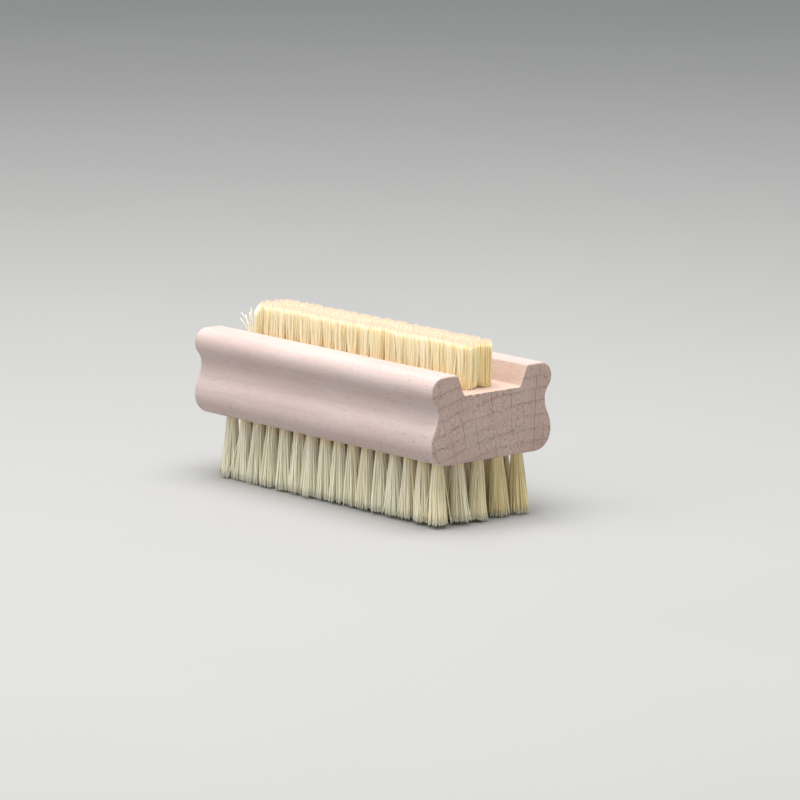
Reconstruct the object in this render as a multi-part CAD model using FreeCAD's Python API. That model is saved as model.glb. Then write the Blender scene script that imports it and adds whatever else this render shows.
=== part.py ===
"""Double-sided wooden nail brush.

A beech block with a finger groove along each long side carries long tufts in blind holes in its underside
and short tufts in blind holes in the floor of a channel along its top. Every tuft is a bundle of plant fibre
folded in half over a flat wire anchor, which is driven into the hole with the fold and spans it from wall to
wall.

Frame: +X along the block, +Y across it, +Z up. The origin is under the middle of the block, on the plane of
the long tufts' trimmed ends. Millimetres.
"""

import FreeCAD, Part
import math
import os

# Wooden block
BLOCK_LENGTH = 95.0
BLOCK_WIDTH = 42.0
BLOCK_HEIGHT = 23.3
BASE_RADIUS = 5.5  # lower long edges
LOBE_TOP_RADIUS = 3.8  # upper long edges
GROOVE_DEPTH = 2.2  # finger groove in each long side
GROOVE_DROP = 5.6  # widest line of the upper lobe down to the deepest line of the groove
LOBE_WIDTH = 8.8  # top of each long side, as far as the channel
CHANNEL_DEPTH = 5.6
CHANNEL_WALL_RUN = 2.4  # how far each channel wall leans outwards
CHANNEL_EDGE_RADIUS = 0.8  # between a channel wall and the top
CHANNEL_FLOOR_RADIUS = 0.8  # between a channel wall and the floor
END_EASE = 0.4  # bevel round each end face

# Drilled holes
HOLE_DIAMETER = 2.9
HOLE_WEB = 2.7  # wood left between the bottoms of the upper and lower holes
HOLE_SIDES = 12
DRILL_OVERRUN = 1.0

# Long tufts under the block
LOWER_COLUMNS = 16
LOWER_ROWS = 5
LOWER_TRIM = 17.2  # free length of the fibres
LOWER_FRONT_INSET = 5.6  # front end face to the middle of the nearest column
LOWER_REAR_INSET = 7.6  # rear end face to the middle of the nearest column
LOWER_SIDE_INSET = 7.2  # widest point of the side to the middle of the first row
LOWER_TIP_GAP = 0.95  # between trimmed ends, along a row

# Short tufts in the channel
UPPER_COLUMNS = 18
UPPER_ROWS = 2
UPPER_TRIM = 12.6
UPPER_ROW_PITCH = 6.2
UPPER_END_INSET = 6.4
UPPER_TIP_GAP = 0.45

# Anchors
ANCHOR_THICKNESS = 0.3
ANCHOR_HEIGHT = 1.2
FOLD_THICKNESS = 0.8  # fibre between the anchor and the bottom of the hole

# Clearances
TUFT_CLEARANCE = 0.03  # tuft to the edge of its hole
ANCHOR_CLEARANCE = 0.02  # anchor to the fibres of its tuft

# Levels and widths that follow from the sizes above
BLOCK_BOTTOM = LOWER_TRIM
BLOCK_TOP = BLOCK_BOTTOM + BLOCK_HEIGHT
CHANNEL_FLOOR = BLOCK_TOP - CHANNEL_DEPTH
HALF_WIDTH = BLOCK_WIDTH / 2
HALF_LENGTH = BLOCK_LENGTH / 2
BASE_HALF = HALF_WIDTH - BASE_RADIUS
MOUTH_HALF = HALF_WIDTH - LOBE_WIDTH
FLOOR_HALF = MOUTH_HALF - CHANNEL_WALL_RUN
HOLE_RADIUS = HOLE_DIAMETER / 2
HOLE_DEPTH = (CHANNEL_FLOOR - BLOCK_BOTTOM - HOLE_WEB) / 2

# A bundle's section is a regular octagon
CORNER_CUT_SHARE = 2 - math.sqrt(2)
FLAT_SHARE = math.cos(math.pi / 8)

ALONG = FreeCAD.Vector(1, 0, 0)
ACROSS = FreeCAD.Vector(0, 1, 0)
UP = FreeCAD.Vector(0, 0, 1)
CENTRE = FreeCAD.Vector(0, 0, 0)


def at_end(y, z):
    """A point of the block's cross-section, on the plane of its rear end face."""
    return FreeCAD.Vector(-HALF_LENGTH, y, z)


def arc_about(centre, start, end):
    """The shorter arc about a centre."""
    chord_middle = (start + end) / 2
    outward = (chord_middle - centre).normalize()
    middle = centre + outward * (start - centre).Length
    return Part.Arc(start, middle, end).toShape()


def rounded_corner(before, corner, after, radius):
    """The arc that rounds a corner between two straight stretches."""
    towards_before = (before - corner).normalize()
    towards_after = (after - corner).normalize()
    half_angle = towards_before.getAngle(towards_after) / 2
    reach = radius / math.tan(half_angle)
    centre = corner + (towards_before + towards_after).normalize() * (radius / math.sin(half_angle))
    return arc_about(centre, corner + towards_before * reach, corner + towards_after * reach)


def swept_side(lobe, waist):
    """The two arcs that lead from the widest point of a lobe into the finger groove."""
    rise = waist - lobe
    radius = (rise ** 2 + GROOVE_DEPTH ** 2) / (4 * GROOVE_DEPTH)
    widest = at_end(HALF_WIDTH, lobe)
    deepest = at_end(HALF_WIDTH - GROOVE_DEPTH, waist)
    between = (widest + deepest) / 2
    return [
        arc_about(widest - ACROSS * radius, widest, between),
        arc_about(deepest + ACROSS * radius, between, deepest),
    ]


def side_outline():
    """One side of the cross-section, from the underside round to the channel floor."""
    lower_lobe = BLOCK_BOTTOM + BASE_RADIUS
    upper_lobe = BLOCK_TOP - LOBE_TOP_RADIUS
    waist = upper_lobe - GROOVE_DROP
    top_flat = HALF_WIDTH - LOBE_TOP_RADIUS
    base = arc_about(
        at_end(BASE_HALF, lower_lobe), at_end(BASE_HALF, BLOCK_BOTTOM), at_end(HALF_WIDTH, lower_lobe)
    )
    shoulder = arc_about(
        at_end(top_flat, upper_lobe), at_end(HALF_WIDTH, upper_lobe), at_end(top_flat, BLOCK_TOP)
    )
    mouth = at_end(MOUTH_HALF, BLOCK_TOP)
    floor_corner = at_end(FLOOR_HALF, CHANNEL_FLOOR)
    edge = rounded_corner(at_end(top_flat, BLOCK_TOP), mouth, floor_corner, CHANNEL_EDGE_RADIUS)
    root = rounded_corner(mouth, floor_corner, at_end(0, CHANNEL_FLOOR), CHANNEL_FLOOR_RADIUS)
    lobe_top = Part.makeLine(shoulder.lastVertex().Point, edge.firstVertex().Point)
    wall = Part.makeLine(edge.lastVertex().Point, root.firstVertex().Point)
    lower_sweep = swept_side(lower_lobe, waist)
    upper_sweep = swept_side(upper_lobe, waist)
    return [base, *lower_sweep, *upper_sweep, shoulder, lobe_top, edge, wall, root]


def shaped_blank():
    """The block before drilling: the cross-section drawn along its length, with both end faces eased."""
    right = side_outline()
    left = [edge.mirror(CENTRE, ACROSS) for edge in right]
    floor_end = right[-1].lastVertex().Point.y
    underside = Part.makeLine(at_end(-BASE_HALF, BLOCK_BOTTOM), at_end(BASE_HALF, BLOCK_BOTTOM))
    floor = Part.makeLine(at_end(-floor_end, CHANNEL_FLOOR), at_end(floor_end, CHANNEL_FLOOR))
    outline = Part.Wire(Part.__sortEdges__(right + left + [underside, floor]))
    bar = Part.Face(outline).extrude(ALONG * BLOCK_LENGTH)
    ends = [face for face in bar.Faces if face.BoundBox.XLength < HALF_LENGTH]
    return bar.makeChamfer(END_EASE, [edge for face in ends for edge in face.Edges])


def spread(first, last, count):
    """Evenly spaced places, from the first to the last."""
    return [first + (last - first) * index / (count - 1) for index in range(count)]


def grid(columns, rows):
    """Middles of the tufts, one list for each column."""
    return [[(x, y) for y in rows] for x in columns]


def lower_grid():
    """Middles of the long tufts, a little nearer the front end than the rear."""
    columns = spread(LOWER_REAR_INSET - HALF_LENGTH, HALF_LENGTH - LOWER_FRONT_INSET, LOWER_COLUMNS)
    rows = spread(LOWER_SIDE_INSET - HALF_WIDTH, HALF_WIDTH - LOWER_SIDE_INSET, LOWER_ROWS)
    return grid(columns, rows)


def upper_grid():
    """Middles of the short tufts, along the middle of the channel."""
    outer_row = UPPER_ROW_PITCH * (UPPER_ROWS - 1) / 2
    columns = spread(UPPER_END_INSET - HALF_LENGTH, HALF_LENGTH - UPPER_END_INSET, UPPER_COLUMNS)
    rows = spread(-outer_row, outer_row, UPPER_ROWS)
    return grid(columns, rows)


def placed(shape, places):
    """Copies of a shape at each place."""
    return [shape.translated(FreeCAD.Vector(x, y, 0)) for x, y in places]


def flat_face(corners):
    """A flat face between corners."""
    return Part.Face(Part.makePolygon(corners + corners[:1]))


def drill(mouth, direction):
    """A many-sided drill for one blind hole, with flats for the anchor's ends."""
    corner_radius = HOLE_RADIUS / math.cos(math.pi / HOLE_SIDES)
    start = mouth - direction.z * DRILL_OVERRUN
    corners = []
    for side in range(HOLE_SIDES):
        turn = math.pi * (2 * side + 1) / HOLE_SIDES
        corners.append(FreeCAD.Vector(corner_radius * math.cos(turn), corner_radius * math.sin(turn), start))
    return flat_face(corners).extrude(direction * (HOLE_DEPTH + DRILL_OVERRUN))


def wood_block():
    """The block with every hole drilled."""
    lower_holes = placed(drill(BLOCK_BOTTOM, UP), sum(lower_grid(), []))
    upper_holes = placed(drill(CHANNEL_FLOOR, -UP), sum(upper_grid(), []))
    return shaped_blank().cut(Part.makeCompound(lower_holes + upper_holes))


def bundle_section(level, half):
    """Corners of a bundle's eight-sided section, which is twice its half size from flat to flat."""
    cut = half * CORNER_CUT_SHARE
    quarter = [(half, half - cut), (half - cut, half)]
    upper_corners = quarter + [(-x, y) for x, y in reversed(quarter)]
    lower_corners = [(x, -y) for x, y in reversed(upper_corners)]
    return [FreeCAD.Vector(x, y, level) for x, y in upper_corners + lower_corners]


def tapered_bundle(start, end):
    """A solid between two sections whose sides are parallel, so that every side is flat."""
    next_start = start[1:] + start[:1]
    next_end = end[1:] + end[:1]
    sides = [flat_face(list(corners)) for corners in zip(start, next_start, next_end, end)]
    return Part.Solid(Part.Shell([flat_face(start), flat_face(end)] + sides))


def tuft(mouth, direction, trim, tip_half):
    """One folded bundle: pinched at its fold, as wide as its hole at the mouth, splayed at its trimmed end."""
    root_half = (HOLE_RADIUS - TUFT_CLEARANCE) * FLAT_SHARE
    fold_half = root_half - (tip_half - root_half) * HOLE_DEPTH / trim
    fold_section = bundle_section(mouth - direction.z * HOLE_DEPTH, fold_half)
    tip_section = bundle_section(mouth + direction.z * trim, tip_half)
    bundle = tapered_bundle(fold_section, tip_section)
    return bundle.cut(anchor(mouth, direction, ANCHOR_CLEARANCE))


def anchor(mouth, direction, clearance):
    """One flat strip on edge across its hole, in the fold of a tuft. The clearance makes the slot round it."""
    height = ANCHOR_HEIGHT + 2 * clearance
    thickness = ANCHOR_THICKNESS + 2 * clearance
    middle = mouth - direction.z * (HOLE_DEPTH - FOLD_THICKNESS - ANCHOR_HEIGHT / 2)
    corner = FreeCAD.Vector(-HOLE_RADIUS, -thickness / 2, middle - height / 2)
    return Part.makeBox(HOLE_DIAMETER, thickness, height, corner)


def save(name, shapes):
    """Write one node, a single solid or a group of them."""
    whole = shapes[0] if len(shapes) == 1 else Part.makeCompound(shapes)
    whole.exportStep(os.path.join("parts", name + ".step"))


def save_brush(side, mouth, direction, trim, columns, tip_gap):
    """Write the tufts of one side column by column, and their anchors row by row."""
    pitch = columns[1][0][0] - columns[0][0][0]
    bundle = tuft(mouth, direction, trim, (pitch - tip_gap) / 2)
    strip = anchor(mouth, direction, 0)
    for number, places in enumerate(columns, start=1):
        save(f"{side}_tufts_{number:02d}", placed(bundle, places))
    for number, places in enumerate(zip(*columns), start=1):
        save(f"{side}_anchors_row_{number}", placed(strip, places))


def main():
    os.makedirs("parts", exist_ok=True)
    save("wood_block", [wood_block()])
    save_brush("lower", BLOCK_BOTTOM, -UP, LOWER_TRIM, lower_grid(), LOWER_TIP_GAP)
    save_brush("upper", CHANNEL_FLOOR, UP, UPPER_TRIM, upper_grid(), UPPER_TIP_GAP)


main()
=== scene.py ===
# %% [markdown]
# # A double-sided nail brush
#
# The brush is a block of raw beech that fits the hand. A finger groove runs along each long side and a
# shallow channel along the top. Long tufts of plant fibre stand in the underside, short ones in the
# channel. The construction model fixes every size, so this lesson only dresses it. It starts by loading
# that model, and everything later is placed in the model's own frame, in metres.

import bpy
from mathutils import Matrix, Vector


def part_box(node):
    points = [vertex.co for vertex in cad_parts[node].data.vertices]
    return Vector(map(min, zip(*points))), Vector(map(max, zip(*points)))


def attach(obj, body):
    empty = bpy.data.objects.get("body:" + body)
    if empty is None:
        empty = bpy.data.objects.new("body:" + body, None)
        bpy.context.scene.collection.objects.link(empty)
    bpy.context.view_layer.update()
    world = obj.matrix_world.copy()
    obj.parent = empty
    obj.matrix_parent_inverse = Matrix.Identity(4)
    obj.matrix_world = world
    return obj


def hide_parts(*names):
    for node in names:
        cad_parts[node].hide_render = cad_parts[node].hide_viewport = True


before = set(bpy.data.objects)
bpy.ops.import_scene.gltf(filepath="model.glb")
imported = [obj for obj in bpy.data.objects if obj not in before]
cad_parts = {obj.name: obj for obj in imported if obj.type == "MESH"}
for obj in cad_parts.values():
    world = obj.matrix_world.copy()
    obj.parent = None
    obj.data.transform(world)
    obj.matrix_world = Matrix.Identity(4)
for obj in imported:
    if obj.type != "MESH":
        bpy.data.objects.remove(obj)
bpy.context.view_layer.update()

# %% [markdown]
# ## The camera
#
# A long lens from about 1.3 m away gives the flat perspective of a product photograph. It could be aimed
# with a constraint, but three directions worked out from two angles and a small roll are exact and easy
# to read: they become the columns of the camera's matrix.

# %% Which way the camera looks
import math

from mathutils import Matrix, Vector

CAMERA_AZIMUTH = math.radians(48.11)
CAMERA_ELEVATION = math.radians(10.82)
CAMERA_ROLL = math.radians(0.54)


def camera_directions():
    """The camera's right, up and backward directions."""
    ahead = Vector((-math.sin(CAMERA_AZIMUTH), math.cos(CAMERA_AZIMUTH), 0))
    backward = Vector((0, 0, math.sin(CAMERA_ELEVATION))) - ahead * math.cos(CAMERA_ELEVATION)
    level = Vector((math.cos(CAMERA_AZIMUTH), math.sin(CAMERA_AZIMUTH), 0))
    right = level * math.cos(CAMERA_ROLL) + backward.cross(level) * math.sin(CAMERA_ROLL)
    return right, backward.cross(right), backward


print("camera looks along", tuple(round(-value, 2) for value in camera_directions()[2]))

# %% Place the camera
import bpy

MM = 0.001
LENS = 225  # on a sensor 36 mm wide
CAMERA_DISTANCE = 1321.8 * MM
AIM_RIGHT = 8.0 * MM
AIM_UP = 8.2 * MM
AIM_HEIGHT = 17.2 * MM


def place_camera():
    """Add the camera and make it the scene's own."""
    right, upward, backward = camera_directions()
    aim = Vector((0, 0, AIM_HEIGHT)) + right * AIM_RIGHT + upward * AIM_UP
    lens = bpy.data.cameras.new("camera")
    lens.lens = LENS
    camera = bpy.data.objects.new("camera", lens)
    turned = Matrix((right, upward, backward)).transposed().to_4x4()
    camera.matrix_world = Matrix.Translation(aim + backward * CAMERA_DISTANCE) @ turned
    bpy.context.scene.collection.objects.link(camera)
    bpy.context.scene.camera = camera
    return camera


print("camera at", tuple(round(value, 3) for value in place_camera().matrix_world.translation))

# %% [markdown]
# ## Shader maths as Python
#
# A finish is a graph of nodes, and a long formula in nodes is hard to read. This small class wraps a
# socket so that `1 - mask * 0.5` in Python adds the Math nodes for it. Colours and vectors can't go
# through Math nodes, so they use Mix and Vector Math through the one method that adds any node.

# %% A socket that takes part in expressions


class Wire:
    """An output socket of a node tree, for use in expressions."""

    def __init__(self, tree, socket):
        self.tree = tree
        self.socket = socket

    def node(self, kind, settings=None, inputs=None, output=0):
        """Add a node of any kind: its settings first, then the values or links of its sockets."""
        made = self.tree.nodes.new("ShaderNode" + kind)
        for name, value in (settings or {}).items():
            setattr(made, name, value)
        for key, value in (inputs or {}).items():
            if isinstance(value, Wire):
                self.tree.links.new(value.socket, made.inputs[key])
            else:
                made.inputs[key].default_value = value
        return Wire(self.tree, made.outputs[output])

    def maths(self, operation, *terms):
        """One Math node."""
        return self.node("Math", {"operation": operation}, dict(enumerate(terms)))

    def __add__(self, other):
        return self.maths("ADD", self, other)

    def __sub__(self, other):
        return self.maths("SUBTRACT", self, other)

    def __rsub__(self, other):
        return self.maths("SUBTRACT", other, self)

    def __mul__(self, other):
        return self.maths("MULTIPLY", self, other)

    def __truediv__(self, other):
        return self.maths("DIVIDE", self, other)

    def __pow__(self, other):
        return self.maths("POWER", self, other)

    __radd__ = __add__
    __rmul__ = __mul__


print("a wire takes part in + - * / and **")

# %% [markdown]
# A handful of helpers cover everything else that the finishes need: soft steps, blends of colours,
# stretched noise, and a new material with its shader ready.

# %% Steps, blends and noise


def step(value, low, high):
    """A soft step: 0 below the low value, 1 above the high one."""
    settings = {"interpolation_type": "SMOOTHSTEP"}
    return value.node("MapRange", settings, {"Value": value, "From Min": low, "From Max": high})


def mix(share, first, second):
    """A blend of two colours."""
    return share.node("Mix", {"data_type": "RGBA"}, {0: share, 6: first, 7: second}, output=2)


def tinted(colour, share, tint):
    """A colour multiplied by a tint, as far as the share says."""
    settings = {"data_type": "RGBA", "blend_type": "MULTIPLY"}
    return share.node("Mix", settings, {0: share, 6: colour, 7: tint}, output=2)


def scaled(vector, factors):
    """A vector multiplied by three numbers."""
    return vector.node("VectorMath", {"operation": "MULTIPLY"}, {0: vector, 1: factors})


def grain(vector, detail=2.0):
    """Smooth noise about 0.5."""
    return vector.node("TexNoise", None, {"Vector": vector, "Scale": 1.0, "Detail": detail})


def new_finish(name, specular):
    """An empty material, with its shader and a wire to start from."""
    material = bpy.data.materials.new(name)
    material.use_nodes = True
    tree = material.node_tree
    shader = tree.nodes["Principled BSDF"]
    shader.inputs["Specular IOR Level"].default_value = specular
    place = Wire(tree, None).node("TexCoord", output="Object")
    return material, shader, place


def connect(wire, shader, name):
    """Link a wire to one of a shader's sockets."""
    wire.tree.links.new(wire.socket, shader.inputs[name])


print("shader helpers ready")

# %% [markdown]
# ## Floor and light
#
# A plain pale floor keeps attention on the brush. The photograph was lit by an overcast sky: soft light
# from above, a little stronger on the long side than on the end. One large area light overhead, a weak
# one on the long side and a pale world give that without hard shadows.

# %% Build the floor
FLOOR_HALF = 6.0
FLOOR_COLOUR = (0.37, 0.37, 0.365, 1)
FLOOR_SHADE = (0.95, 0.95, 0.96, 1)
FLOOR_CLOUDS = (9, 9, 9)  # per metre
FLOOR_ROUGHNESS = 0.8
FLOOR_SPECULAR = 0.2


def floor_finish():
    """Pale matt paper with a hardly visible unevenness."""
    material, shader, place = new_finish("pale_floor", FLOOR_SPECULAR)
    clouds = grain(scaled(place, FLOOR_CLOUDS))
    connect(tinted(FLOOR_COLOUR, clouds, FLOOR_SHADE), shader, "Base Color")
    shader.inputs["Roughness"].default_value = FLOOR_ROUGHNESS
    return material


def build_floor():
    """A square sheet at the level of the long tufts' ends."""
    mesh = bpy.data.meshes.new("floor")
    corners = [(x * FLOOR_HALF, y * FLOOR_HALF, 0) for x, y in ((-1, -1), (1, -1), (1, 1), (-1, 1))]
    mesh.from_pydata(corners, [], [(0, 1, 2, 3)])
    mesh.materials.append(floor_finish())
    floor = bpy.data.objects.new("floor", mesh)
    bpy.context.scene.collection.objects.link(floor)
    return floor


print("floor", build_floor().dimensions.x, "m wide")

# %% Hang the lights
SKY_COLOUR = (0.93, 0.97, 1.0, 1)
SKY_STRENGTH = 0.455
FIBRE_BOUNCES = 16  # light finds its way out of pale fibre only after many turns
LIGHT_SIZE = 0.8
LIGHTS = {
    "overhead": {"at": (0.05, -0.10, 0.9), "power": 16.0, "colour": (1.0, 0.985, 0.96)},
    "long_side": {"at": (-0.45, -0.85, 0.75), "power": 3.6, "colour": (1.0, 0.98, 0.96)},
}


def hang_light(name, at, power, colour):
    """A square area light that faces the brush."""
    lamp = bpy.data.lights.new(name, "AREA")
    lamp.size = LIGHT_SIZE
    lamp.energy = power
    lamp.color = colour
    light = bpy.data.objects.new(name, lamp)
    light.location = at
    light.rotation_euler = (-Vector(at)).to_track_quat("-Z", "Y").to_euler()
    bpy.context.scene.collection.objects.link(light)


def light_scene():
    """A pale world and the area lights."""
    world = bpy.data.worlds.new("sky")
    world.use_nodes = True
    sky = world.node_tree.nodes["Background"]
    sky.inputs["Color"].default_value = SKY_COLOUR
    sky.inputs["Strength"].default_value = SKY_STRENGTH
    bpy.context.scene.world = world
    bpy.context.scene.view_settings.view_transform = "Standard"
    bpy.context.scene.cycles.diffuse_bounces = FIBRE_BOUNCES
    bpy.context.scene.cycles.max_bounces = FIBRE_BOUNCES
    for name, settings in LIGHTS.items():
        hang_light(name, **settings)


light_scene()
print("lights:", ", ".join(LIGHTS))

# %% [markdown]
# ## Plant fibre
#
# The tufts are cream-coloured plant fibre. Each fibre has its own shade, and painted shade makes it
# warmer and darker near the wood, where the next fibres and the block shade it. Some tufts are golden,
# and towards the front end and the far side this gold is partly painted warm shade. The cut ends of the
# short fibres face the light from above, so a tan colour keeps them from burning out. Every fibre carries
# three
# numbers for this, written on its mesh: how far along it a point lies, its own random shade, and the tint
# of its tuft. An image texture would need to be painted, while numbers on the mesh follow each fibre
# exactly.

# %% The colours of both kinds of fibre
from collections import namedtuple

FibreLook = namedtuple("FibreLook", ["root", "rise", "body", "golden", "tip"])
LONG_LOOK = FibreLook(
    # painted shade: the root colour darkens and warms each fibre near the wood, where the next fibres
    # shade it
    root=(0.84, 0.68, 0.42, 1),
    rise=0.25,  # the share of the free length over which the root's colour fades
    body=(0.963, 0.94, 0.785, 1),
    golden=(0.955, 0.85, 0.52, 1),
    tip=(0.985, 0.955, 0.78, 1),
)
SHORT_LOOK = FibreLook(
    # painted shade: the root colour warms each fibre near the wood, in the shade between the channel's
    # walls
    root=(0.985, 0.855, 0.52, 1),
    rise=0.55,
    body=(0.999, 0.955, 0.745, 1),
    golden=(0.985, 0.875, 0.53, 1),
    tip=(0.60, 0.46, 0.345, 1),
)
print("long fibres", LONG_LOOK.body[:3], "short fibres", SHORT_LOOK.body[:3])

# %% The fibre finish
ALONG = "along"
SHADE = "shade"
TINT = "tint"
FIBRE_STREAKS = (2600, 2600, 160)  # per metre, drawn out along the fibre
ROOT_FROM = -0.1  # a little inside the hole
CUT_END = (0.9, 1.0)
SHADE_IN_GOLD = 0.4
GOLDEN_FROM = (0.7, 1.4)  # the tint at which a fibre starts to turn golden, and is golden
SHADE_DEPTH = 0.18
STREAK_DEPTH = 0.1
SHADED = (0.86, 0.82, 0.74, 1)
FIBRE_ROUGHNESS = 0.38
STREAK_ROUGHNESS = 0.22
FIBRE_SPECULAR = 0.35


def written(place, name):
    """A number that the mesh carries at each point."""
    return place.node("Attribute", {"attribute_name": name}, output="Fac")


def fibre_finish(name, look):
    """Cream fibre, from its root to its cut tip, with golden ones among the pale."""
    material, shader, place = new_finish(name, FIBRE_SPECULAR)
    along = written(place, ALONG)
    shade = written(place, SHADE)
    streaks = grain(scaled(place, FIBRE_STREAKS))
    # Painted shade near the wood: the root colour fades into the body colour over the rise.
    colour = mix(step(along, ROOT_FROM, look.rise), look.root, look.body)
    # The tuft's tint turns fibres golden; at the front end and the far side this gold is partly painted
    # warm shade.
    gold_and_warm_shade = step(written(place, TINT) + SHADE_IN_GOLD * shade, *GOLDEN_FROM)
    colour = mix(gold_and_warm_shade, colour, look.golden)
    colour = tinted(colour, SHADE_DEPTH * shade + STREAK_DEPTH * streaks, SHADED)
    colour = mix(step(along, *CUT_END), colour, look.tip)
    connect(colour, shader, "Base Color")
    connect(FIBRE_ROUGHNESS + STREAK_ROUGHNESS * streaks, shader, "Roughness")
    return material


LOWER_FIBRE = fibre_finish("pale_fibre", LONG_LOOK)
UPPER_FIBRE = fibre_finish("cream_fibre", SHORT_LOOK)
print("fibre finishes:", LOWER_FIBRE.name, UPPER_FIBRE.name)

# %% [markdown]
# ## Tufts folded over their anchors
#
# A brush maker lays a bundle of fibres across a drilled hole and drives a flat wire anchor through its
# middle, so each fibre becomes a hairpin with both ends standing out of the hole. Hair particles would
# be quicker, but they have no thickness in an exported mesh. Here each hairpin is one six-sided tube:
# down from one cut end, round under the anchor, and up to the other.

# %% Where the fibres of a tuft stand
import numpy as np

HOLE_RADIUS = 1.45 * MM
FIBRES_PER_TUFT = 72
FIBRE_RADIUS = (0.09 * MM, 0.16 * MM)
ROOT_RADIUS = HOLE_RADIUS - FIBRE_RADIUS[0]
ROOT_JITTER = 0.04 * MM
GOLDEN_ANGLE = math.pi * (3 - math.sqrt(5))
SEED = 20
draw = np.random.default_rng(SEED)


def seeded_disc(count, radius):
    """Even places in a disc, set as a sunflower sets its seeds, each a little off its place."""
    order = np.arange(count) + 0.5
    reach = radius * np.sqrt(order / count)
    turn = order * GOLDEN_ANGLE + draw.uniform(0, 2 * math.pi)
    places = np.stack([reach * np.cos(turn), reach * np.sin(turn)], axis=1)
    return places + draw.normal(0, ROOT_JITTER, places.shape)


def folded_pairs(places):
    """The two ends of each fibre: one on either side of the anchor, about level along it."""
    by_side = places[np.argsort(places[:, 1])]
    sides = np.split(by_side, 2)
    return [side[np.argsort(side[:, 0])] for side in sides]


print("fibres in a tuft:", len(folded_pairs(seeded_disc(2 * FIBRES_PER_TUFT, ROOT_RADIUS))[0]))

# %% [markdown]
# The two brushes have different habits. The long tufts are cones that meet only at their cut ends. The
# short ones swell where they leave the wood and spread across the block at once, so that the two rows
# close just above it. A habit holds the reach of the tips along and across the block, the powers by
# which fibres flare with a factor on them along and across, the swell at the mouth of the hole, the
# share of the spread that is left on an open side, and how much wear shortens fibres that splay out.

# %% The habits of both brushes
Habit = namedtuple("Habit", ["reach", "flare", "bend", "swell", "open_share", "worn"])
LONG_HABIT = Habit(
    reach=np.array([3.1, 2.9]) * MM,
    flare=(0.75, 1.15),
    bend=(1, 1),
    swell=0,
    open_share=0.56,
    worn=0,
)
SHORT_HABIT = Habit(
    reach=np.array([2.9, 3.6]) * MM,
    flare=(0.3, 0.7),
    bend=(1, 0.2),
    swell=0.18,
    open_share=0.2,
    worn=0.5,
)
print("reach of the tips in metres: long", LONG_HABIT.reach, "short", SHORT_HABIT.reach)

# %% [markdown]
# Fibres cling together in locks, so the tips of each lock are drawn towards their common middle. That
# leaves the narrow splits which make a tuft look like fibre and not like a comb. A few fibres go astray,
# and at the corners of a brush the outermost ones splay outwards.

# %% Where the tips lie
LOCKS_PER_TUFT = 6
LOCK_PULL = 0.25
TIP_SCATTER = 0.4 * MM
STRAY_SHARE = 0.05
STRAY_REACH = 0.9 * MM
SPLAYED = 3
SPLAY_SHARES = (0.3, 1.0)


def drawn_into_locks(tips):
    """Tips drawn towards the middle of the lock they belong to."""
    centres = tips[draw.choice(len(tips), LOCKS_PER_TUFT, replace=False)]
    nearest = np.argmin(np.linalg.norm(tips[:, None] - centres[None], axis=2), axis=1)
    middles = np.stack([tips[nearest == lock].mean(axis=0) for lock in range(LOCKS_PER_TUFT)])
    return tips + (middles[nearest] - tips) * LOCK_PULL


def tip_places(roots, habit, open_side, lean, splay):
    """Where fibres end, seen along the tuft: spread by habit, with a few splayed outwards."""
    spread = roots * (habit.reach / ROOT_RADIUS - 1)
    spread = np.where(roots * open_side > 0, spread * habit.open_share, spread)
    tips = drawn_into_locks(roots + spread + draw.normal(0, TIP_SCATTER, roots.shape))
    stray = draw.random(len(roots)) < STRAY_SHARE
    tips[stray] += draw.normal(0, STRAY_REACH, (stray.sum(), 2))
    outermost = np.argsort(-roots @ splay)[:SPLAYED]
    tips[outermost] += splay * draw.uniform(*SPLAY_SHARES, (SPLAYED, 1))
    return tips + lean


print("fibres in a lock, about:", FIBRES_PER_TUFT // LOCKS_PER_TUFT)

# %% [markdown]
# Between hole and tip a fibre flares and bows a little. All fibres are cut at the trim, which is a
# little ragged, and one that leans reaches less far out. In the hole the anchor pinches the bundle.

# %% The line of each fibre
FREE_SHARES = np.array([1.0, 0.88, 0.7, 0.5, 0.3, 0.13, 0.05, 0.0])
SWELL_SHARE = 0.05
BOW = 0.12 * MM
SPLAY_CURVE = 1.4
STRAIGHT_FROM = 2.2 * MM
RAGGED = 0.45 * MM
TRIM_MARGIN = 0.05 * MM


def free_places(roots, tips, habit):
    """Places across the tuft of points on each free end, from its cut tip to the hole."""
    shares = FREE_SHARES[None, :, None]
    sideways = np.linalg.norm(tips - roots, axis=1, keepdims=True)
    curve = np.minimum(SPLAY_CURVE, sideways / STRAIGHT_FROM)
    flare = np.maximum(draw.uniform(*habit.flare, (len(roots), 1)), curve)
    flare = flare * np.where(curve < SPLAY_CURVE, habit.bend, 1)
    bow = draw.normal(0, BOW, (len(roots), 1, 2))
    bowed = 4 * shares * (1 - shares)  # 1 in the middle, 0 at both ends
    swollen = roots[:, None] * (1 + habit.swell * np.minimum(1, shares / SWELL_SHARE))
    spread = (tips - roots * (1 + habit.swell))[:, None]
    return swollen + spread * shares ** flare[:, None] + bow * bowed


def free_heights(roots, tips, habit, splay, trim):
    """How far the same points lie out of the hole."""
    sideways = np.linalg.norm(tips - roots, axis=1, keepdims=True)
    worn = habit.worn * np.maximum(0, roots @ splay / ROOT_RADIUS)[:, None]
    cut = trim - TRIM_MARGIN - worn - np.abs(draw.normal(0, RAGGED, (len(roots), 1)))
    return np.sqrt(cut ** 2 - sideways ** 2) * FREE_SHARES


print("points on a free end:", len(FREE_SHARES))

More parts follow.
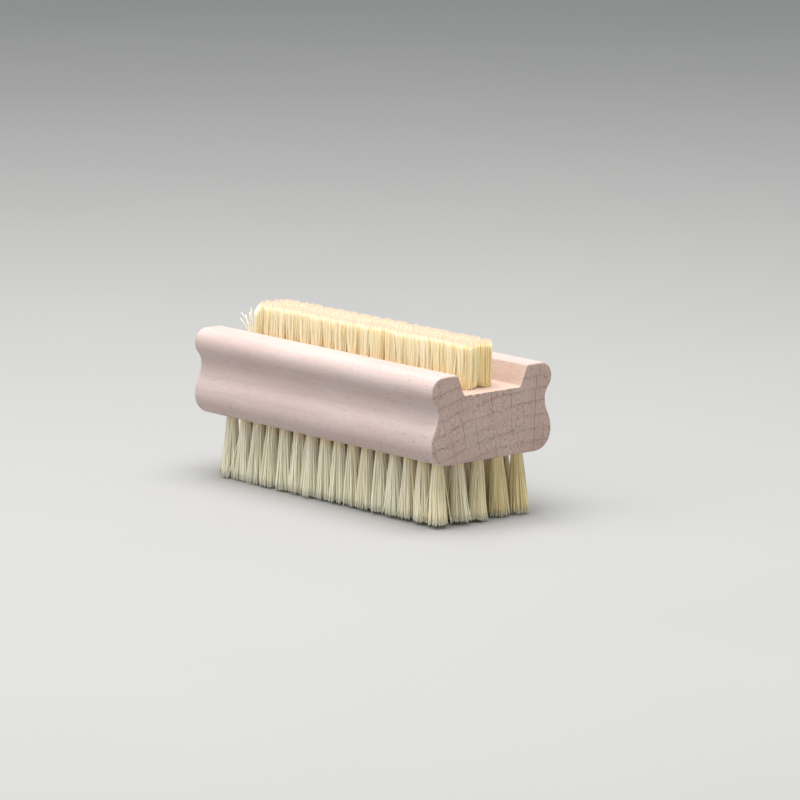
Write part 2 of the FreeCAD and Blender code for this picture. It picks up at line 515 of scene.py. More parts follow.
# %% Fold the fibres
ANCHOR_HALF_THICKNESS = 0.15 * MM
ANCHOR_TOP = 5.5 * MM
ANCHOR_BOTTOM = 6.7 * MM
HELD_DEPTHS = np.array([-ANCHOR_TOP / 2, -ANCHOR_TOP, -ANCHOR_BOTTOM])
PINCH = 0.62
FIRST_PINCH = (2 + PINCH) / 3  # a third of the way to the full pinch
SAMPLE_TRIM = 17 * MM


def held_places(roots):
    """Places across the tuft of points inside the hole, down beside the anchor."""
    beside = roots * PINCH
    clear = ANCHOR_HALF_THICKNESS + FIBRE_RADIUS[1]
    beside[:, 1] = np.sign(roots[:, 1]) * np.maximum(np.abs(beside[:, 1]), clear)
    return np.stack([roots * FIRST_PINCH, beside, beside], axis=1)


def leg(roots, tips, habit, splay, trim):
    """One half of each fibre, from its cut tip down to the fold."""
    across = np.concatenate([free_places(roots, tips, habit), held_places(roots)], axis=1)
    heights = free_heights(roots, tips, habit, splay, trim)
    held = np.broadcast_to(HELD_DEPTHS, (len(roots), len(HELD_DEPTHS)))
    outwards = np.concatenate([heights, held], axis=1)
    return np.concatenate([across, outwards[:, :, None]], axis=2)


def hairpins(habit, open_side, lean, splay, trim):
    """The lines of a tuft's folded fibres, from one cut tip round the anchor to the other."""
    sides = folded_pairs(seeded_disc(2 * FIBRES_PER_TUFT, ROOT_RADIUS))
    tips = [tip_places(roots, habit, open_side, lean, splay) for roots in sides]
    legs = [leg(*ends, habit, splay, trim) for ends in zip(sides, tips)]
    fold = (legs[0][:, -1] + legs[1][:, -1]) / 2
    fold[:, 2] -= np.abs(legs[0][:, -1, 1] - legs[1][:, -1, 1]) / 2
    return np.concatenate([legs[0], fold[:, None], legs[1][:, ::-1]], axis=1)


sample = hairpins(LONG_HABIT, np.zeros(2), np.zeros(2), np.zeros(2), SAMPLE_TRIM)
print("points on a folded fibre:", sample.shape[1])

# %% [markdown]
# A tube needs a ring of points round its line at each step. The rings stand square to the line, and the
# block's long direction, which no fibre ever runs along, keeps them from twisting. Plant fibres aren't
# quite round, so each ring is a little flattened. The cut ends are closed with flat caps.

# %% Tubes along the lines
SIDES = 6
RING_TURNS = np.arange(SIDES) * 2 * math.pi / SIDES
FLATNESS = (0.7, 1.0)
ALONG_BLOCK = np.array([1.0, 0.0, 0.0])


def unit(vectors):
    """Vectors of length 1."""
    return vectors / np.linalg.norm(vectors, axis=-1, keepdims=True)


def tube_points(lines, radii):
    """Rings of points round each line."""
    along = unit(np.gradient(lines, axis=1))
    first = unit(ALONG_BLOCK - along * (along @ ALONG_BLOCK)[..., None])
    second = np.cross(along, first) * draw.uniform(*FLATNESS, (len(lines), 1, 1))
    ring = first[:, :, None] * np.cos(RING_TURNS)[:, None]
    ring = ring + second[:, :, None] * np.sin(RING_TURNS)[:, None]
    return lines[:, :, None] + ring * radii[:, None, None, None]


def tube_faces(count, rings):
    """Sides and end caps of several tubes, as numbers of their points."""
    numbers = np.arange(count * rings * SIDES).reshape(count, rings, SIDES)
    beside = np.roll(numbers, -1, axis=2)
    sides = np.stack([numbers[:, :-1], beside[:, :-1], beside[:, 1:], numbers[:, 1:]], axis=-1)
    caps = np.stack([numbers[:, 0, ::-1], numbers[:, -1]], axis=1)
    return sides.reshape(-1, 4), caps.reshape(-1, SIDES)


print("faces on one fibre:", sum(len(faces) for faces in tube_faces(1, sample.shape[1])))

# %% [markdown]
# Colours may later be baked into a picture, and an automatic unwrap would mix up thousands of fibres.
# So the code that makes the tubes also writes their map: one strip for each fibre, with its two caps at
# the ends of the strip.

# %% A map for baking
MAP_MARGIN = 0.1
CAP_SHARE = 0.02
CAP_MIDDLE = 0.5
CAP_RADIUS = 0.4


def side_map(count, rings):
    """A strip of the map for the sides of each tube."""
    tube = np.arange(count)[:, None, None]
    lengthwise = CAP_SHARE + (1 - 2 * CAP_SHARE) * np.arange(rings)[None, :, None] / (rings - 1)
    height = MAP_MARGIN + (1 - 2 * MAP_MARGIN) * np.arange(SIDES + 1)[None, None] / SIDES
    u = np.broadcast_to(lengthwise, (count, rings, SIDES + 1))
    v = np.broadcast_to((tube + height) / count, (count, rings, SIDES + 1))
    grid = np.stack([u, v], axis=-1)
    corners = [grid[:, :-1, :-1], grid[:, :-1, 1:], grid[:, 1:, 1:], grid[:, 1:, :-1]]
    return np.stack(corners, axis=3).reshape(-1, 2)


def cap_map(count):
    """Both caps of each tube, at the ends of its strip."""
    u = CAP_SHARE * (CAP_MIDDLE + CAP_RADIUS * np.cos(RING_TURNS))
    v = (CAP_MIDDLE + CAP_RADIUS * np.sin(RING_TURNS)) / count
    strips = np.stack([np.zeros(count), np.arange(count) / count], axis=1)
    near = np.stack([u, v], axis=1)[None] + strips[:, None]
    far = near + np.array([1 - CAP_SHARE, 0])
    return np.stack([near, far], axis=1).reshape(-1, 2)


print("corners on one fibre's map:", len(side_map(1, sample.shape[1])) + len(cap_map(1)))

# %% [markdown]
# ## The mesh of a column
#
# The construction model keeps the tufts of one column in one node, so each of those nodes gets one piece
# here, in the same place and of the same length. Its mesh also carries the three numbers that the finish
# reads. Writing whole arrays at once is much quicker than adding tubes one by one.

# %% Fibres as one mesh


def write_number(mesh, name, values):
    """Store a number for every point of a mesh."""
    stored = mesh.attributes.new(name, "FLOAT", "POINT")
    stored.data.foreach_set("value", values.astype(np.float32).ravel())


def fibre_mesh(name, lines, tints, finish):
    """A mesh of tubes along lines of points, with how far along its fibre each point lies."""
    count, rings = lines.shape[:2]
    points = tube_points(lines[:, :, :3], draw.uniform(*FIBRE_RADIUS, count))
    sides, caps = tube_faces(count, rings)
    mesh = bpy.data.meshes.new(name)
    mesh.from_pydata(points.reshape(-1, 3).tolist(), [], sides.tolist() + caps.tolist())
    mesh.polygons.foreach_set("use_smooth", np.arange(len(sides) + len(caps)) < len(sides))
    corners = np.concatenate([side_map(count, rings), cap_map(count)])
    mesh.uv_layers.new(name="OFBake").data.foreach_set("uv", corners.astype(np.float32).ravel())
    whole = np.ones((count, rings, SIDES))
    write_number(mesh, ALONG, whole * lines[:, :, 3, None])
    write_number(mesh, SHADE, whole * draw.random(count)[:, None, None])
    write_number(mesh, TINT, whole * tints[:, None, None])
    mesh.materials.append(finish)
    return mesh


print("numbers on each fibre:", ALONG, SHADE, TINT)

# %% [markdown]
# ## Both brushes
#
# The boxes of a brush's nodes say where its tufts stand and how far the fibres reach. The outermost tufts
# have no neighbours on one side, so they lean, most at the corners, and a few of their fibres splay
# outwards. The trim isn't quite level: the short fibres fall towards the rear, and the long ones along
# the near side, which the camera sees, towards the front. At the front end the long tufts have parted
# between some rows, and more tufts are golden, most on the far side. That gold is partly the fibre's own
# and partly painted warm shade, as these tufts lie in the shade of their neighbours.

# %% How a brush stands
BLOCK_LOW, BLOCK_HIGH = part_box("wood_block")
HOLE_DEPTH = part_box("lower_tufts_01")[1].z - BLOCK_LOW.z
LEAN_POWER = 4
PARTED_POWER = 8
LEAN_SCATTER = 0.2 * MM
DROP_SCATTER = 0.1 * MM
OUTERMOST = 0.99
TUFT_TINTS = (0.25, 0.65)
# Golden fibre together with painted warm shade: more towards the front end, and more again on the far
# side.
GOLD_AND_SHADE_AT_FRONT = 0.55
GOLD_AND_SHADE_TO_FAR_SIDE = 0.4


class Brush:
    """One of the two brushes: its tufts' places, the way they point and how they lean.

    Leans, splays and the fall are given along and across the block. The first lean is for the rear end
    and the near side, the second for the front end and the far side. The first splay is for the rear
    corners, the second for the front ones. Each row has its own way of parting at the front.
    """

    def __init__(self, prefix, rows, direction, finish, habit, leans, parted, splays, fall):
        self.nodes = sorted(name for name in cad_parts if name.startswith(prefix))
        self.rows = rows
        self.direction = direction
        self.finish = finish
        self.habit = habit
        self.leans = np.array(leans) * MM
        self.parted = np.array(parted) * MM
        self.splays = np.array(splays) * MM
        self.fall = np.array(fall) * MM
        first, last = self.middles(self.nodes[0])[0], self.middles(self.nodes[-1])[-1]
        self.centre = (first + last) / 2
        self.half = (last - first) / 2
        low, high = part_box(self.nodes[0])
        self.trim = high.z - low.z - HOLE_DEPTH
        self.mouth = low.z + HOLE_DEPTH if direction > 0 else high.z - HOLE_DEPTH

    def middles(self, node):
        """Middles of one column's tufts."""
        low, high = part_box(node)
        half_tip = (high.x - low.x) / 2
        x = (low.x + high.x) / 2
        places = np.linspace(low.y + half_tip, high.y - half_tip, self.rows)
        return [np.array([x, y]) for y in places]

    def lean(self, share, row):
        """How far the ends of a tuft lie from over its hole."""
        lean = np.where(share < 0, *self.leans) * np.abs(share) ** LEAN_POWER
        lean[1] += self.parted[row] * max(0, share[0]) ** PARTED_POWER
        return lean + draw.normal(0, LEAN_SCATTER, 2)

    def tuft(self, middle, row):
        """The lines of one tuft's fibres in place, and the tuft's own tint."""
        share = (middle - self.centre) / self.half
        open_side = np.where(np.abs(share) > OUTERMOST, np.sign(share), 0)
        splay = self.splays[int(share[0] > 0)] * open_side * abs(open_side[0])
        drop = max(0, self.fall @ (1 - share) / 2) + abs(draw.normal(0, DROP_SCATTER))
        lines = hairpins(self.habit, open_side, self.lean(share, row), splay, self.trim - drop)
        out = lines[:, :, 2:]
        level = self.mouth + self.direction * out
        along = out / out.max(axis=1, keepdims=True)
        placed = np.concatenate([lines[:, :, :2] + middle, level, along], axis=2)
        # Gold at the front end and the far side: partly golden fibre, partly painted warm shade.
        golden = GOLD_AND_SHADE_AT_FRONT * (1 + GOLD_AND_SHADE_TO_FAR_SIDE * share[1]) * max(0, share[0]) ** LEAN_POWER
        return placed, draw.uniform(*TUFT_TINTS) + golden


print("depth of the holes:", round(HOLE_DEPTH / MM, 2), "mm")

# %% [markdown]
# The settings of each brush are millimetres that follow the photograph: the long tufts lean outwards,
# most at the rear end, the short ones lean inwards a little, and short fibres splay widely at the rear
# corners, where they are worn.

# %% Build both brushes
LOWER_BRUSH = Brush(
    "lower_tufts", 5, -1, LOWER_FIBRE, LONG_HABIT,
    leans=((-1.1, -0.2), (0.5, 1.0)),
    parted=(0, 0.9, -0.4, 0.9, -0.3),
    splays=((1.6, 0.5), (0.6, 0.3)),
    fall=(-0.7, 0.7),
)
UPPER_BRUSH = Brush(
    "upper_tufts", 2, 1, UPPER_FIBRE, SHORT_HABIT,
    leans=((1.0, 0), (-0.2, 0)),
    parted=(0, 0),
    splays=((4.9, 3.6), (0.9, 0.3)),
    fall=(0.3, 0),
)


def build_column(brush, node):
    """The piece that stands for one column of tufts."""
    tufts = [brush.tuft(middle, row) for row, middle in enumerate(brush.middles(node))]
    lines = np.concatenate([lines for lines, tint in tufts])
    tints = np.repeat([tint for lines, tint in tufts], FIBRES_PER_TUFT)
    name = node + "_fibres"
    piece = bpy.data.objects.new(name, fibre_mesh(name, lines, tints, brush.finish))
    bpy.context.scene.collection.objects.link(piece)
    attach(piece, "root")
    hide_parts(node)
    return piece


for brush in (LOWER_BRUSH, UPPER_BRUSH):
    pieces = [build_column(brush, node) for node in brush.nodes]
    print(len(pieces), "columns,", sum(len(piece.data.polygons) for piece in pieces), "faces")

# %% [markdown]
# ## Beech
#
# Beech is pale and pinkish. Its growth rings show on the sawn ends as thin dark lines, crossed by rays
# that run out from the pith. On the long sides the same rays and the pores show as short dark flecks
# along the grain. All of this is one solid pattern, so it is worked out from each point's distance and
# direction from the pith, a line far below the block. Flat pictures on each face could never meet at
# the edges as solid grain does.

# %% Where a point lies in the tree
MM_PER_METRE = (1000, 1000, 1000)
PITH_ACROSS = 12.0  # this and the other lengths in the wood are millimetres
PITH_HEIGHT = -60.0
MEAN_RADIUS = 88.0
WANDER = 2.4
WANDER_STRETCH = (0.02, 0.09, 0.09)
WAVER = 1.2
WAVER_STRETCH = (0.05, 0.45, 0.45)
WAVER_DETAIL = 3
NOISE_MEAN = 0.5
END_FACING = (0.55, 0.9)

Wood = namedtuple("Wood", ["spot", "x", "y", "z", "radius", "arc", "in_rings", "end"])


def wood_place(place):
    """A point's place in the block and among the rings, and whether it lies on a sawn end."""
    spot = scaled(place, MM_PER_METRE)
    x, y, z = [spot.node("SeparateXYZ", None, {0: spot}, output=axis) for axis in range(3)]
    across = y - PITH_ACROSS
    above = z - PITH_HEIGHT
    wander = grain(scaled(spot, WANDER_STRETCH)) - NOISE_MEAN
    waver = grain(scaled(spot, WAVER_STRETCH), WAVER_DETAIL) - NOISE_MEAN
    radius = (across * across + above * above) ** 0.5 + WANDER * wander + WAVER * waver
    arc = across.maths("ARCTAN2", across, above) * MEAN_RADIUS
    in_rings = x.node("CombineXYZ", None, {0: x, 1: arc, 2: radius})
    normal = spot.node("NewGeometry", output="Normal")
    facing = normal.node("SeparateXYZ", None, {0: normal})
    end = step(facing.maths("ABSOLUTE", facing), *END_FACING)
    return Wood(spot, x, y, z, radius, arc, in_rings, end)


print("mean distance from the pith:", MEAN_RADIUS, "mm")

# %% [markdown]
# Most marks in the wood are stretched noise, cut off by a soft step. Two tables hold them: marks that go
# by place in the block, and marks that go by place among the rings. Growth rings and the long rays on
# the ends are thin lines, so they come from a repeating step and from cells.

# %% Marks in the wood
# For each mark: noise per millimetre in three directions, its detail, and where it starts and is full.
BLOCK_MARKS = {
    "blotches": ((0.03, 0.16, 0.16), 2, (0.3, 0.7)),
    "mottle": ((0.05, 0.22, 0.22), 2, (0.38, 0.62)),
    "patches": ((0.05, 0.12, 0.12), 2, (0.42, 0.6)),
    "pores": ((0.35, 2.6, 2.6), 4, (0.5, 0.68)),
    "pale_dots": ((0.5, 1.5, 1.5), 3, (0.54, 0.68)),
    "not_dark": ((0.5, 1.5, 1.5), 3, (0.33, 0.46)),
    "spots": ((0.4, 0.55, 0.55), 1, (0.63, 0.74)),
}
RING_MARKS = {
    "faint": ((0.06, 0.35, 0.2), 3, (0.38, 0.62)),
    "rays": ((0.4, 1.5, 0.09), 2, (0.55, 0.7)),
    "broken": ((0.3, 0.8, 0.11), 2, (0.44, 0.56)),
    "flecks": ((0.8, 2.4, 3.4), 1, (0.64, 0.74)),
}


def noise_marks(place, table):
    """The marks of a table, each from 0 to 1."""
    marks = {}
    for name, (stretch, detail, limits) in table.items():
        marks[name] = step(grain(scaled(place, stretch), detail), *limits)
    return marks


print("marks made from noise:", ", ".join([*BLOCK_MARKS, *RING_MARKS]))

# %% Growth rings and long rays
RING_START = 87.3
RING_WIDTH = 3.4
LATE_WOOD = (0.35, 0.97)
DARK_LINE = (0.74, 0.9)
LINE_END = (0.92, 1.0)
RAYS_PER_MM = 0.17
RAY_WIDTH = (0.008, 0.03)
WOBBLE = 0.7
WOBBLE_STRETCH = (0.2, 0.1, 0.6)


def ring_lines(wood):
    """The darker late wood of each year, and the thin line at its end."""
    ring = wood.radius.maths("FRACT", (wood.radius - RING_START) / RING_WIDTH)
    late = step(ring, *LATE_WOOD) * (1 - step(ring, LATE_WOOD[1], 1.0))
    return late, step(ring, *DARK_LINE) * (1 - step(ring, *LINE_END))


def ray_lines(wood):
    """Thin lines that run out from the pith, a few millimetres apart."""
    wobble = grain(scaled(wood.in_rings, WOBBLE_STRETCH)) * WOBBLE
    along_ring = (wood.arc + wobble) * RAYS_PER_MM
    settings = {"voronoi_dimensions": "1D"}
    cell = wood.arc.node("TexVoronoi", settings, {"W": along_ring, "Scale": 1.0})
    return 1 - step(cell, *RAY_WIDTH)


print("rings", RING_WIDTH, "mm apart, long rays about", round(1 / RAYS_PER_MM, 1), "mm apart")

# %% [markdown]
# Some marks keep to one part of the block: flecks are stronger towards the front, round spots lie low on
# the sides, the dots on the ends gather in patches, and the planed channel is a little warmer.

# %% Marks in their places
PATCH_LEAST = 0.25
FLECK_LEAST = 0.35
FLECK_FROM = (-15, 40)
SPOT_TOP = (20, 25)
CHANNEL_FROM = 34.0  # just under the channel's floor
CHANNEL_HALF = 12.3
CHANNEL_BLUR = 0.5


def wood_marks(wood):
    """All marks in the wood, each from 0 to 1."""
    marks = noise_marks(wood.spot, BLOCK_MARKS) | noise_marks(wood.in_rings, RING_MARKS)
    in_patches = PATCH_LEAST + (1 - PATCH_LEAST) * marks["patches"]
    marks["pale_dots"] = marks["pale_dots"] * in_patches
    marks["dark_dots"] = (1 - marks["not_dark"]) * in_patches
    to_front = FLECK_LEAST + (1 - FLECK_LEAST) * step(wood.x, *FLECK_FROM)
    marks["flecks"] = marks["flecks"] * to_front
    marks["spots"] = marks["spots"] * (1 - step(wood.z, *SPOT_TOP))
    marks["late"], line = ring_lines(wood)
    marks["line"] = line * marks["faint"]
    marks["long_rays"] = ray_lines(wood) * marks["broken"]
    aside = wood.y.maths("ABSOLUTE", wood.y)
    in_channel = 1 - step(aside, CHANNEL_HALF - CHANNEL_BLUR, CHANNEL_HALF)
    marks["channel"] = in_channel * step(wood.z, CHANNEL_FROM, CHANNEL_FROM + CHANNEL_BLUR)
    return marks


print("channel tint: above", CHANNEL_FROM, "mm, within", CHANNEL_HALF, "mm of the middle")

# %% [markdown]
# The colour is built up in layers, as a painter would glaze: each mark multiplies what lies under it by
# its tint, more or less strongly on the sides and on the ends. Only the pale dots are painted on.

# %% The beech finish
PALE_BEECH = (0.58, 0.47, 0.445, 1)
PINK_BEECH = (0.55, 0.43, 0.40, 1)
GREY_END = (0.91, 0.87, 0.81, 1)
PINK_END = (0.94, 0.845, 0.785, 1)
PALE_DOT = (0.66, 0.56, 0.49, 1)
PALE_DOT_SHARE = 0.45
# For each layer: its mark, its strength on the long sides and on the ends, and its tint.
LAYERS_UNDER_DOTS = (
    ("late", 0.1, 0.26, (0.80, 0.72, 0.68, 1)),
    ("channel", 1, 0, (0.97, 0.91, 0.83, 1)),
    ("line", 0.1, 0.5, (0.62, 0.55, 0.52, 1)),
    ("pores", 0.14, 0.44, (0.66, 0.58, 0.56, 1)),
)
LAYERS_OVER_DOTS = (
    ("dark_dots", 0, 0.65, (0.62, 0.54, 0.51, 1)),
    ("rays", 0.10, 0.32, (0.70, 0.62, 0.58, 1)),
    ("long_rays", 0, 0.8, (0.53, 0.46, 0.43, 1)),
    ("flecks", 0.55, 0, (0.62, 0.49, 0.45, 1)),
    ("spots", 0.45, 0, (0.74, 0.58, 0.52, 1)),
)
BEECH_ROUGHNESS = 0.55
PORE_ROUGHNESS = 0.2
BEECH_SPECULAR = 0.3
MARK_DEPTHS = {"pores": 0.5, "rays": 0.3, "flecks": 0.6}
BUMP_STRENGTH = 0.35
BUMP_DISTANCE = 0.08 * MM


def layered(colour, layers, marks, end):
    """A colour under several layers of tint."""
    for name, on_sides, on_ends, tint in layers:
        colour = tinted(colour, marks[name] * (on_sides + (on_ends - on_sides) * end), tint)
    return colour


def beech_colour(marks, end):
    """The colour of the wood, from all its marks."""
    colour = mix(marks["blotches"], PALE_BEECH, PINK_BEECH)
    colour = tinted(colour, end, mix(marks["mottle"], GREY_END, PINK_END))
    colour = layered(colour, LAYERS_UNDER_DOTS, marks, end)
    colour = mix(marks["pale_dots"] * end * PALE_DOT_SHARE, colour, PALE_DOT)
    return layered(colour, LAYERS_OVER_DOTS, marks, end)


def beech_finish():
    """Solid beech, with its pores, rays and flecks a little sunken."""
    material, shader, place = new_finish("raw_beech", BEECH_SPECULAR)
    wood = wood_place(place)
    marks = wood_marks(wood)
    connect(beech_colour(marks, wood.end), shader, "Base Color")
    connect(BEECH_ROUGHNESS + PORE_ROUGHNESS * marks["pores"], shader, "Roughness")
    height = 0 - sum(marks[name] * depth for name, depth in MARK_DEPTHS.items())
    settings = {"Strength": BUMP_STRENGTH, "Distance": BUMP_DISTANCE, "Height": height}
    connect(height.node("Bump", None, settings), shader, "Normal")
    return material


BEECH = beech_finish()
print("beech nodes:", len(BEECH.node_tree.nodes))

# %% [markdown]
# ## The block
#
# The block is one length of moulded beech: a cross-section drawn along the grain, sawn at both ends, with
# the sharp end edges eased. The construction model has the same section with fewer facets. Drawing it
# again with finer arcs keeps the lobes smooth in a close view.

# %% Arcs of the cross-section
GROOVE_DEPTH = 2.2 * MM
ARC_STEP = math.radians(7)


def arc(centre, radius, start, end):
    """Points of an arc, by the angles in degrees at which it starts and ends."""
    turns = np.radians([start, end])
    count = max(3, math.ceil(abs(turns[1] - turns[0]) / ARC_STEP) + 1)
    y, z = centre
    angles = np.linspace(*turns, count)
    return [(y + radius * math.cos(turn), z + radius * math.sin(turn)) for turn in angles]


def sweep(rise):
    """The radius of the two arcs between a lobe and the groove, and how far each turns, in degrees."""
    radius = (rise ** 2 + GROOVE_DEPTH ** 2) / (4 * GROOVE_DEPTH)
    return radius, math.degrees(math.asin(rise / 2 / radius))


print("points on a quarter circle:", len(arc((0, 0), MM, 0, 90)))

# %% The cross-section
BASE_RADIUS = 5.5 * MM
LOBE_TOP_RADIUS = 3.8 * MM
GROOVE_DROP = 5.6 * MM
LOBE_WIDTH = 8.8 * MM
CHANNEL_DEPTH = 5.6 * MM
CHANNEL_WALL_RUN = 2.4 * MM
CHANNEL_RADIUS = 0.8 * MM


def channel_side():
    """One side of the channel, from the lobe's top down the slanting wall to the floor."""
    lean = math.degrees(math.atan2(CHANNEL_DEPTH, CHANNEL_WALL_RUN))
    reach = CHANNEL_RADIUS * math.tan(math.radians(lean) / 2)
    mouth = BLOCK_HIGH.y - LOBE_WIDTH
    foot = mouth - CHANNEL_WALL_RUN
    floor = BLOCK_HIGH.z - CHANNEL_DEPTH
    edge = arc((mouth + reach, BLOCK_HIGH.z - CHANNEL_RADIUS), CHANNEL_RADIUS, 90, 90 + lean)
    return edge + arc((foot - reach, floor + CHANNEL_RADIUS), CHANNEL_RADIUS, lean - 90, -90)


def block_half():
    """One side of the section, from the underside round to the channel floor."""
    half = BLOCK_HIGH.y
    lower_lobe = BLOCK_LOW.z + BASE_RADIUS
    upper_lobe = BLOCK_HIGH.z - LOBE_TOP_RADIUS
    waist = upper_lobe - GROOVE_DROP
    deepest = half - GROOVE_DEPTH
    lower_radius, lower_turn = sweep(waist - lower_lobe)
    upper_radius, upper_turn = sweep(upper_lobe - waist)
    return (
        arc((half - BASE_RADIUS, lower_lobe), BASE_RADIUS, -90, 0)
        + arc((half - lower_radius, lower_lobe), lower_radius, 0, lower_turn)[1:]
        + arc((deepest + lower_radius, waist), lower_radius, 180 + lower_turn, 180)[1:]
        + arc((deepest + upper_radius, waist), upper_radius, 180, 180 - upper_turn)[1:]
        + arc((half - upper_radius, upper_lobe), upper_radius, -upper_turn, 0)[1:]
        + arc((half - LOBE_TOP_RADIUS, upper_lobe), LOBE_TOP_RADIUS, 0, 90)[1:]
        + channel_side()
    )


def block_section():
    """The whole section, counter-clockwise seen from the front end."""
    right = block_half()
    return np.array(right + [(-y, z) for y, z in reversed(right)])


print("points round the block:", len(block_section()))

# %% [markdown]
# The section is repeated along the block. Near each end it shrinks along a quarter circle, which eases
# the edge: well rounded on the lobes, which were sanded, and hardly at all in the channel.

# %% Ease the ends
LOBE_EASE = 0.6 * MM
CHANNEL_EASE = 0.2 * MM
EDGE_STEPS = 6


def edge_radii(section):
    """How far the end edge is eased at each point of the section."""
    y, z = np.abs(section[:, 0]), section[:, 1]
    above_floor = z > BLOCK_HIGH.z - CHANNEL_DEPTH - CHANNEL_RADIUS
    return np.where((y < BLOCK_HIGH.y - LOBE_WIDTH) & above_floor, CHANNEL_EASE, LOBE_EASE)


def shrunk(section, by):
    """The section with every point moved inwards, square to the outline."""
    ahead = np.roll(section, -1, axis=0) - section
    behind = section - np.roll(section, 1, axis=0)
    direction = unit(unit(ahead) + unit(behind))
    inwards = np.stack([-direction[:, 1], direction[:, 0]], axis=1)
    return section + inwards * by[:, None]


def eased_end(section):
    """Outlines from the end face to the full section, with how far each point lies behind the end."""
    radii = edge_radii(section)
    turns = np.linspace(0, math.pi / 2, EDGE_STEPS + 1)
    return [
        (radii * (1 - math.cos(turn)), shrunk(section, radii * (1 - math.sin(turn)))) for turn in turns
    ]


print("outlines at an end:", len(eased_end(block_section())))

# %% The block's surface
BODY_STEPS = 12


def block_rings():
    """The section at its places along the block, from the rear end to the front."""
    section = block_section()
    eased = eased_end(section)
    rear = [np.column_stack([BLOCK_LOW.x + back, outline]) for back, outline in eased]
    front = [np.column_stack([BLOCK_HIGH.x - back, outline]) for back, outline in reversed(eased)]
    between = np.linspace(BLOCK_LOW.x, BLOCK_HIGH.x, BODY_STEPS + 1)[1:-1]
    return rear + [np.column_stack([np.full(len(section), x), section]) for x in between] + front


def block_mesh():
    """The block before drilling."""
    rings = block_rings()
    count = len(rings[0])
    numbers = np.arange(len(rings) * count).reshape(len(rings), count)
    beside = np.roll(numbers, -1, axis=1)
    sides = np.stack([numbers[:-1], beside[:-1], beside[1:], numbers[1:]], axis=-1).reshape(-1, 4)
    ends = [numbers[0, ::-1].tolist(), numbers[-1].tolist()]
    mesh = bpy.data.meshes.new("beech_block")
    mesh.from_pydata(np.concatenate(rings).tolist(), [], sides.tolist() + ends)
    return mesh


print("sections along the block:", len(block_rings()))

# %% [markdown]
# A brush maker drills every hole before tufting. Here one Boolean modifier drills them all in one go,
# and the same cut takes small chips out of the sawn edges of the channel floor. Modelling each hole's
# rim by hand would give tidier faces, but nobody sees them under the fibres.

# %% Drills and chisels
HOLE_SIDES = 24
CHIP_FACES = [(0, 2, 4), (2, 1, 4), (1, 3, 4), (3, 0, 4), (2, 0, 5), (1, 2, 5), (3, 1, 5), (0, 3, 5)]


def drill(x, y, low, high):
    """Points and faces of a round drill between two levels."""
    turns = np.arange(HOLE_SIDES) * 2 * math.pi / HOLE_SIDES
    ring = [(x + HOLE_RADIUS * math.cos(turn), y + HOLE_RADIUS * math.sin(turn)) for turn in turns]
    points = [(px, py, level) for level in (low, high) for px, py in ring]
    faces = [tuple(range(HOLE_SIDES))[::-1], tuple(range(HOLE_SIDES, 2 * HOLE_SIDES))]
    for side in range(HOLE_SIDES):
        after = (side + 1) % HOLE_SIDES
        faces.append((side, after, HOLE_SIDES + after, HOLE_SIDES + side))
    return points, faces


def chip(centre, halves):
    """Points and faces of an eight-sided chisel that takes a chip out of an edge."""
    tips = [Vector(centre) + Vector(axis) * side for axis in np.diag(halves) for side in (1, -1)]
    return [tuple(tip) for tip in tips], CHIP_FACES


print("faces on a drill:", len(drill(0, 0, 0, HOLE_DEPTH)[1]))

# %% All cutters as one object
DRILL_OVERRUN = 1.0 * MM
CHIPS_PER_END = 9
CHIP_LOW = (0.2 * MM, 0.4 * MM, 0.15 * MM)
CHIP_HIGH = (0.7 * MM, 1.2 * MM, 0.42 * MM)


def cutters():
    """A drill for every hole, and chisels along the sawn ends of the channel floor."""
    tools = []
    for brush in (LOWER_BRUSH, UPPER_BRUSH):
        bottom = brush.mouth - brush.direction * HOLE_DEPTH
        start = brush.mouth + brush.direction * DRILL_OVERRUN
        for node in brush.nodes:
            tools += [drill(*middle, *sorted((start, bottom))) for middle in brush.middles(node)]
    floor_half = BLOCK_HIGH.y - LOBE_WIDTH - CHANNEL_WALL_RUN - CHANNEL_RADIUS
    for end in (BLOCK_LOW.x, BLOCK_HIGH.x):
        for y in np.linspace(-floor_half, floor_half, CHIPS_PER_END):
            edge = (end, y + draw.uniform(-CHIP_LOW[1], CHIP_LOW[1]), BLOCK_HIGH.z - CHANNEL_DEPTH)
            tools.append(chip(edge, draw.uniform(CHIP_LOW, CHIP_HIGH)))
    return tools


def cutting_tool():
    """One object made of all cutters."""
    points = []
    faces = []
    for tool_points, tool_faces in cutters():
        faces += [tuple(len(points) + corner for corner in face) for face in tool_faces]
        points += tool_points
    mesh = bpy.data.meshes.new("cutters")
    mesh.from_pydata(points, [], faces)
    tool = bpy.data.objects.new("cutters", mesh)
    bpy.context.scene.collection.objects.link(tool)
    return tool


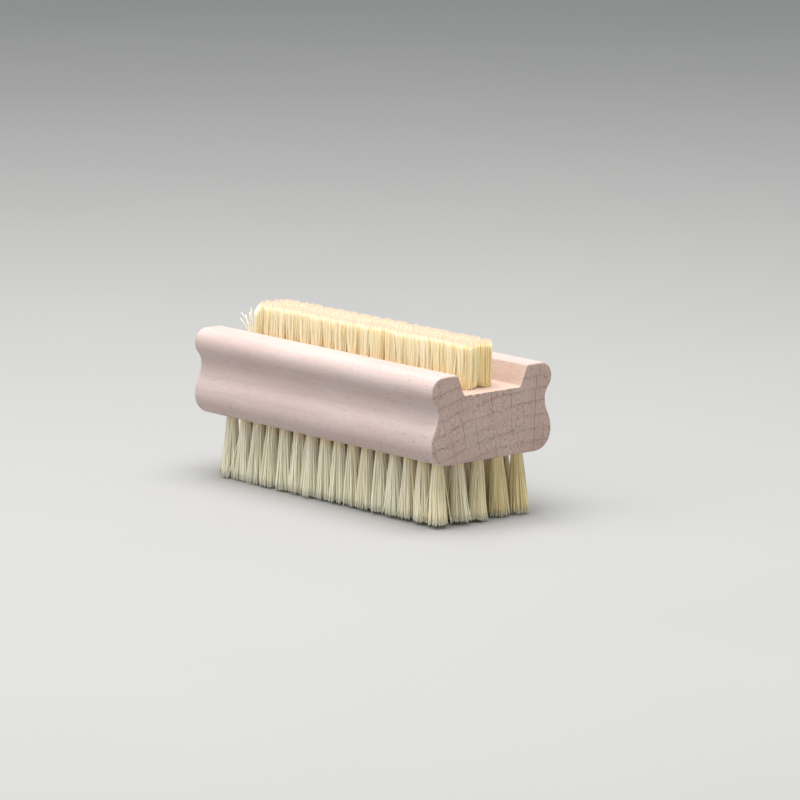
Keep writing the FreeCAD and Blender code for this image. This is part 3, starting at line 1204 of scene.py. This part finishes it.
tool = cutting_tool()
print("faces on all cutters:", len(tool.data.polygons))

# %% Cut the block
SHARP_ANGLE = math.radians(20)


def drilled_mesh(blank, tool):
    """The mesh that is left when the cutters are taken away from the blank."""
    cut = blank.modifiers.new("drill", "BOOLEAN")
    cut.object = tool
    cut.operation = "DIFFERENCE"
    cut.solver = "EXACT"
    seen = blank.evaluated_get(bpy.context.evaluated_depsgraph_get())
    mesh = bpy.data.meshes.new_from_object(seen)
    mesh.shade_smooth()
    mesh.set_sharp_from_angle(angle=SHARP_ANGLE)
    mesh.materials.clear()
    mesh.materials.append(BEECH)
    return mesh


def build_block(tool):
    """The drilled block, in place of the construction model's."""
    block = bpy.data.objects.new("beech_block", block_mesh())
    bpy.context.scene.collection.objects.link(block)
    drilled = drilled_mesh(block, tool)
    block.modifiers.clear()
    block.data = drilled
    bpy.data.objects.remove(tool)
    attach(block, "root")
    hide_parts("wood_block")
    return block


print("block faces after drilling:", len(build_block(tool).data.polygons))

# %% [markdown]
# ## Anchors
#
# The anchors are short lengths of flat drawn wire, deep in the holes. Their shape is right in the
# construction model, so they only get a finish: bright steel with fine lines along the wire.

# %% Finish the anchors
WIRE_LINES = (300, 9000, 9000)  # per metre
DARK_WIRE = (0.55, 0.55, 0.54, 1)
BRIGHT_WIRE = (0.72, 0.71, 0.69, 1)
WIRE_ROUGHNESS = 0.25
WIRE_SPECULAR = 0.5


def wire_finish():
    """Drawn flat wire."""
    material, shader, place = new_finish("drawn_wire", WIRE_SPECULAR)
    lines = grain(scaled(place, WIRE_LINES))
    connect(mix(lines, DARK_WIRE, BRIGHT_WIRE), shader, "Base Color")
    connect(WIRE_ROUGHNESS * (1 + lines), shader, "Roughness")
    shader.inputs["Metallic"].default_value = 1.0
    return material


def finish_anchors():
    """Give every anchor node the wire finish."""
    finish = wire_finish()
    anchors = [node for name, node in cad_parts.items() if "anchors" in name]
    for node in anchors:
        for slot in node.material_slots:
            slot.material = finish
    return anchors


print("anchor rows:", len(finish_anchors()))
